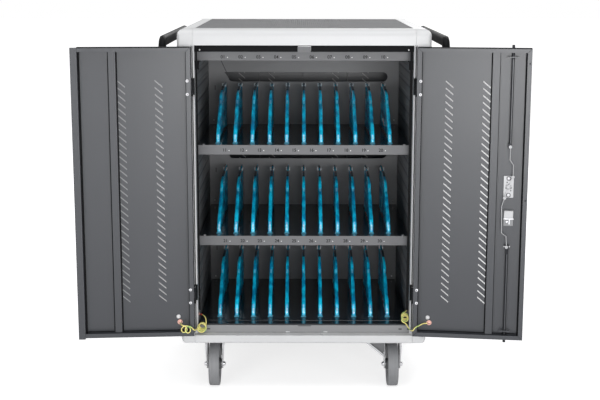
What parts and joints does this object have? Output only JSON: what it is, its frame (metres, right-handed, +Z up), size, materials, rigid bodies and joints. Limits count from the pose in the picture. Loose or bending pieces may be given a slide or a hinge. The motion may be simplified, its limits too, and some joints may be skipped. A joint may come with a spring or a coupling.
{
  "type": "laptop charging cart",
  "caption": "Steel charging cart on casters with open double doors, upright laptop bays between blue dividers on shelves, side bow handles and a rod lock.",
  "frame": {"origin": "middle of the outline on the floor, with the front doors open", "axes": "+X to the right seen from the front, +Y from the front to the back, +Z up"},
  "size_m": [1.2304, 0.7752, 1.027],
  "materials": {
    "light_grey_paint": "semi gloss powder coat",
    "anthracite_paint": "fine textured powder coat",
    "dark_paint": "satin",
    "top_mat": "matt ribbed",
    "black_plastic": "satin",
    "blue_plastic": "gloss",
    "zinc": "zinc plated",
    "tyre_grey": "matt",
    "lead_insulation": "satin"
  },
  "bodies": {
    "cart": {"front_column_left": "light_grey_paint", "front_column_right": "light_grey_paint", "top_rail_front": "light_grey_paint", "bottom_rail_front": "light_grey_paint", "rear_column_left": "light_grey_paint", "rear_column_right": "light_grey_paint", "top_rail_rear": "light_grey_paint", "bottom_rail_rear": "light_grey_paint", "top_rail_left": "light_grey_paint", "top_rail_right": "light_grey_paint", "chassis": "light_grey_paint", "side_panel_left": "anthracite_paint", "side_panel_right": "anthracite_paint", "side_liner_left": "dark_paint", "side_liner_right": "dark_paint", "top_panel": "dark_paint", "top_mat": "top_mat", "header_beam": "anthracite_paint", "shelf_lower": "anthracite_paint", "shelf_middle": "anthracite_paint", "shelf_upper": "anthracite_paint", "back_wall": "anthracite_paint", "divider_tray_lower": "blue_plastic", "divider_tray_middle": "blue_plastic", "divider_tray_upper": "blue_plastic", "socket_strip_lower": "black_plastic", "socket_strip_middle": "black_plastic", "socket_strip_upper": "black_plastic", "mains_inlet": "black_plastic", "bow_handle_left": "black_plastic", "bow_handle_right": "black_plastic", "earth_lead_left": "lead_insulation", "earth_lead_right": "lead_insulation", "caster_plate_front_left": "zinc", "caster_plate_front_right": "zinc", "caster_plate_rear_left": "zinc", "caster_plate_rear_right": "zinc"},
    "front_door_left": {"front_door_left": "anthracite_paint"},
    "front_door_right": {"front_door_right": "anthracite_paint", "lock_body": "zinc", "lock_base_plate": "zinc"},
    "rear_door_left": {"rear_door_left": "anthracite_paint"},
    "rear_door_right": {"rear_door_right": "anthracite_paint"},
    "rear_key_lock": {"rear_key_lock": "zinc"},
    "lock_spindle": {"lock_handle": "black_plastic", "lock_cam": "zinc"},
    "lock_rod_upper": {"lock_rod_upper": "dark_paint"},
    "lock_rod_lower": {"lock_rod_lower": "dark_paint"},
    "lock_link_upper": {"lock_link_upper": "zinc"},
    "lock_link_lower": {"lock_link_lower": "zinc"},
    "brake_pedal": {"brake_pedal": "zinc"},
    "caster_swivel_front_left": {"caster_fork_front_left": "zinc"},
    "caster_wheel_front_left": {"caster_wheel_front_left": "tyre_grey"},
    "caster_swivel_front_right": {"caster_fork_front_right": "zinc"},
    "caster_wheel_front_right": {"caster_wheel_front_right": "tyre_grey"},
    "caster_swivel_rear_left": {"caster_fork_rear_left": "zinc"},
    "caster_wheel_rear_left": {"caster_wheel_rear_left": "tyre_grey"},
    "caster_swivel_rear_right": {"caster_fork_rear_right": "zinc"},
    "caster_wheel_rear_right": {"caster_wheel_rear_right": "tyre_grey"}
  },
  "joints": [
    {"name": "front_door_left_hinge", "type": "hinge", "parent": "cart", "child": "front_door_left", "pos_m": [-0.297, -0.32279, 0.5775], "axis": [0, 0, 1], "range_deg": [0, 175.6], "deforming": ["earth_lead_left"]},
    {"name": "front_door_right_hinge", "type": "hinge", "parent": "cart", "child": "front_door_right", "pos_m": [0.314, -0.32279, 0.5775], "axis": [0, 0, 1], "range_deg": [-172.8, 0], "deforming": ["earth_lead_right"]},
    {"name": "rear_door_left_hinge", "type": "hinge", "parent": "cart", "child": "rear_door_left", "pos_m": [-0.297, 0.38381, 0.5775], "axis": [0, 0, 1], "range_deg": [0, 170]},
    {"name": "rear_door_right_hinge", "type": "hinge", "parent": "cart", "child": "rear_door_right", "pos_m": [0.314, 0.38381, 0.5775], "axis": [0, 0, 1], "range_deg": [-170, 0]},
    {"name": "rear_key_turn", "type": "hinge", "parent": "rear_door_right", "child": "rear_key_lock", "pos_m": [0.0342, 0.37851, 0.6], "axis": [0, -1, 0], "range_deg": [0, 90]},
    {"name": "lock_turn", "type": "hinge", "parent": "front_door_right", "child": "lock_spindle", "pos_m": [0.56524, -0.35987, 0.6039], "axis": [0.1253, 0.9921, 0], "range_deg": [0, 40]},
    {"name": "lock_rod_upper_slide", "type": "slide", "parent": "front_door_right", "child": "lock_rod_upper", "axis": [0, 0, -1], "range_m": [0, 0.0172]},
    {"name": "lock_rod_lower_slide", "type": "slide", "parent": "front_door_right", "child": "lock_rod_lower", "axis": [0, 0, 1], "range_m": [0, 0.0157]},
    {"name": "lock_link_upper_pivot", "type": "hinge", "parent": "lock_rod_upper", "child": "lock_link_upper", "pos_m": [0.56382, -0.37824, 0.7147], "axis": [0.1253, 0.9921, 0], "range_deg": [-11.7, 0]},
    {"name": "lock_link_lower_pivot", "type": "hinge", "parent": "lock_rod_lower", "child": "lock_link_lower", "pos_m": [0.56184, -0.37799, 0.4386], "axis": [0.1253, 0.9921, 0], "range_deg": [-7, 0]},
    {"name": "caster_turn_front_left", "type": "hinge", "parent": "cart", "child": "caster_swivel_front_left", "pos_m": [-0.2475, -0.21349, 0.133], "axis": [0, 0, 1], "continuous": true},
    {"name": "wheel_spin_front_left", "type": "hinge", "parent": "caster_swivel_front_left", "child": "caster_wheel_front_left", "pos_m": [-0.2475, -0.24849, 0.0625], "axis": [1, 0, 0], "continuous": true},
    {"name": "caster_turn_front_right", "type": "hinge", "parent": "cart", "child": "caster_swivel_front_right", "pos_m": [0.2645, -0.21349, 0.133], "axis": [0, 0, 1], "continuous": true},
    {"name": "wheel_spin_front_right", "type": "hinge", "parent": "caster_swivel_front_right", "child": "caster_wheel_front_right", "pos_m": [0.2645, -0.24849, 0.0625], "axis": [1, 0, 0], "continuous": true},
    {"name": "caster_turn_rear_left", "type": "hinge", "parent": "cart", "child": "caster_swivel_rear_left", "pos_m": [-0.2475, 0.27451, 0.133], "axis": [0, 0, 1], "continuous": true},
    {"name": "wheel_spin_rear_left", "type": "hinge", "parent": "caster_swivel_rear_left", "child": "caster_wheel_rear_left", "pos_m": [-0.2475, 0.23951, 0.0625], "axis": [1, 0, 0], "continuous": true},
    {"name": "caster_turn_rear_right", "type": "hinge", "parent": "cart", "child": "caster_swivel_rear_right", "pos_m": [0.2645, 0.27451, 0.133], "axis": [0, 0, 1], "continuous": true},
    {"name": "wheel_spin_rear_right", "type": "hinge", "parent": "caster_swivel_rear_right", "child": "caster_wheel_rear_right", "pos_m": [0.2645, 0.23951, 0.0625], "axis": [1, 0, 0], "continuous": true},
    {"name": "brake_pedal_press", "type": "hinge", "parent": "caster_swivel_front_right", "child": "brake_pedal", "pos_m": [0.2419, -0.25749, 0.0885], "axis": [0, 1, 0], "range_deg": [-12, 0]}
  ],
  "couplings": [
    {"joint": "lock_rod_upper_slide", "follows": "lock_turn", "m_per_rad": 0.02447},
    {"joint": "lock_rod_lower_slide", "follows": "lock_turn", "m_per_rad": 0.02233},
    {"joint": "lock_link_upper_pivot", "follows": "lock_turn", "ratio": -0.2905},
    {"joint": "lock_link_lower_pivot", "follows": "lock_turn", "ratio": -0.172}
  ]
}
